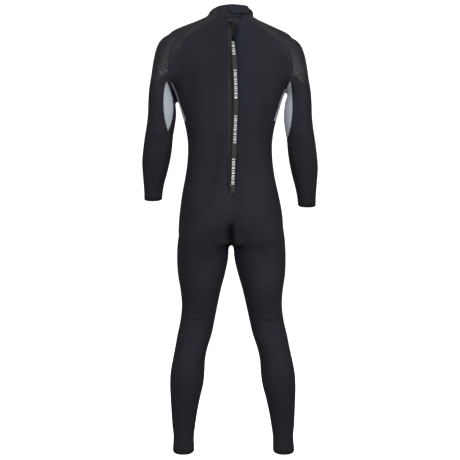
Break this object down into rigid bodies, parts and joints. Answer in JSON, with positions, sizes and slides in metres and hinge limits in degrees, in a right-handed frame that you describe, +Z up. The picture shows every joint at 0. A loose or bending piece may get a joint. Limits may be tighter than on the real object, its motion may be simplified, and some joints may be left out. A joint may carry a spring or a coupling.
{
  "type": "full wetsuit",
  "caption": "Full-length back-zip wetsuit of neoprene panels, with a collar and neck tab, coil zip, slider, pull tab and webbing leash, flexing at elbows and knees.",
  "frame": {"origin": "centre of the neck opening at the foot of the collar", "axes": "+Z up from the ankles to the collar, the back with the zip faces -Y, +X is the wearer's right"},
  "size_m": [0.592, 0.2359, 1.4983],
  "materials": {
    "neoprene": "matte nylon-faced neoprene, near black with a blue cast",
    "smooth_skin": "textured smooth-skin neoprene, slightly glossy",
    "grey_neoprene": "matte light grey nylon-faced neoprene",
    "knee_pad": "coarse abrasion-resistant knit facing",
    "edging": "folded hem with overlocked thread",
    "tape": "woven zip tape",
    "webbing": "woven polyester webbing",
    "pad": "hook-and-loop pile",
    "coil": "nylon or moulded zip teeth",
    "zip_metal": "black painted zinc alloy"
  },
  "bodies": {
    "suit": {"back_left": "neoprene", "side_strip_left": "grey_neoprene", "seat_left": "neoprene", "thigh_left": "neoprene", "knee_pad_left": "knee_pad", "knee_back_left": "neoprene", "shoulder_left": "smooth_skin", "upper_sleeve_left": "neoprene", "underarm_left": "grey_neoprene", "elbow_left": "neoprene", "zip_coil_left": "coil", "zip_tape_left": "tape", "top_stop_left": "zip_metal", "back_right": "neoprene", "side_strip_right": "grey_neoprene", "seat_right": "neoprene", "thigh_right": "neoprene", "knee_pad_right": "knee_pad", "knee_back_right": "neoprene", "shoulder_right": "smooth_skin", "upper_sleeve_right": "neoprene", "underarm_right": "grey_neoprene", "elbow_right": "neoprene", "zip_coil_right": "coil", "zip_tape_right": "tape", "top_stop_right": "zip_metal", "chest": "neoprene", "belly": "neoprene", "collar": "neoprene", "collar_loops": "pad", "under_flap": "tape", "zip_stop": "coil"},
    "forearm_left": {"forearm_outer_left": "neoprene", "forearm_inner_left": "neoprene", "wrist_hem_left": "edging"},
    "forearm_right": {"forearm_outer_right": "neoprene", "forearm_inner_right": "neoprene", "wrist_hem_right": "edging"},
    "lower_leg_left": {"shin_left": "neoprene", "calf_left": "neoprene", "ankle_hem_left": "edging"},
    "lower_leg_right": {"shin_right": "neoprene", "calf_right": "neoprene", "ankle_hem_right": "edging"},
    "slider": {"slider": "zip_metal", "leash": "webbing", "leash_tip": "edging"},
    "pull": {"pull_tab": "zip_metal"},
    "neck_tab": {"neck_tab": "neoprene", "tab_hooks": "pad"}
  },
  "joints": [
    {"name": "elbow_left", "type": "hinge", "parent": "suit", "child": "forearm_left", "pos_m": [-0.236, -0.006, -0.378], "axis": [1, 0, 0], "range_deg": [-12, 95], "stiffness_Nm_per_rad": 1.5, "deforming": ["elbow_left"]},
    {"name": "elbow_right", "type": "hinge", "parent": "suit", "child": "forearm_right", "pos_m": [0.236, -0.006, -0.3912], "axis": [1, 0, 0], "range_deg": [-12, 95], "stiffness_Nm_per_rad": 1.5, "deforming": ["elbow_right"]},
    {"name": "knee_left", "type": "hinge", "parent": "suit", "child": "lower_leg_left", "pos_m": [-0.1046, 0, -0.981], "axis": [-1, 0, 0], "range_deg": [0, 90], "stiffness_Nm_per_rad": 4, "deforming": ["knee_pad_left", "knee_back_left"]},
    {"name": "knee_right", "type": "hinge", "parent": "suit", "child": "lower_leg_right", "pos_m": [0.1178, 0, -0.981], "axis": [-1, 0, 0], "range_deg": [0, 90], "stiffness_Nm_per_rad": 4, "deforming": ["knee_pad_right", "knee_back_right"]},
    {"name": "zip_slide", "type": "slide", "parent": "suit", "child": "slider", "axis": [0, -0.027, -0.9996], "range_m": [0, 0.515], "deforming": ["leash", "leash_tip"]},
    {"name": "pull_lift", "type": "hinge", "parent": "slider", "child": "pull", "pos_m": [0.0015, -0.0889, -0.026], "axis": [-0.6448, 0, -0.7643], "range_deg": [0, 100], "deforming": ["leash"]},
    {"name": "neck_tab_peel", "type": "hinge", "parent": "suit", "child": "neck_tab", "pos_m": [0.058, -0.054, 0.0206], "axis": [0, 0.7, 0.7141], "range_deg": [0, 90], "stiffness_Nm_per_rad": 0.02}
  ]
}
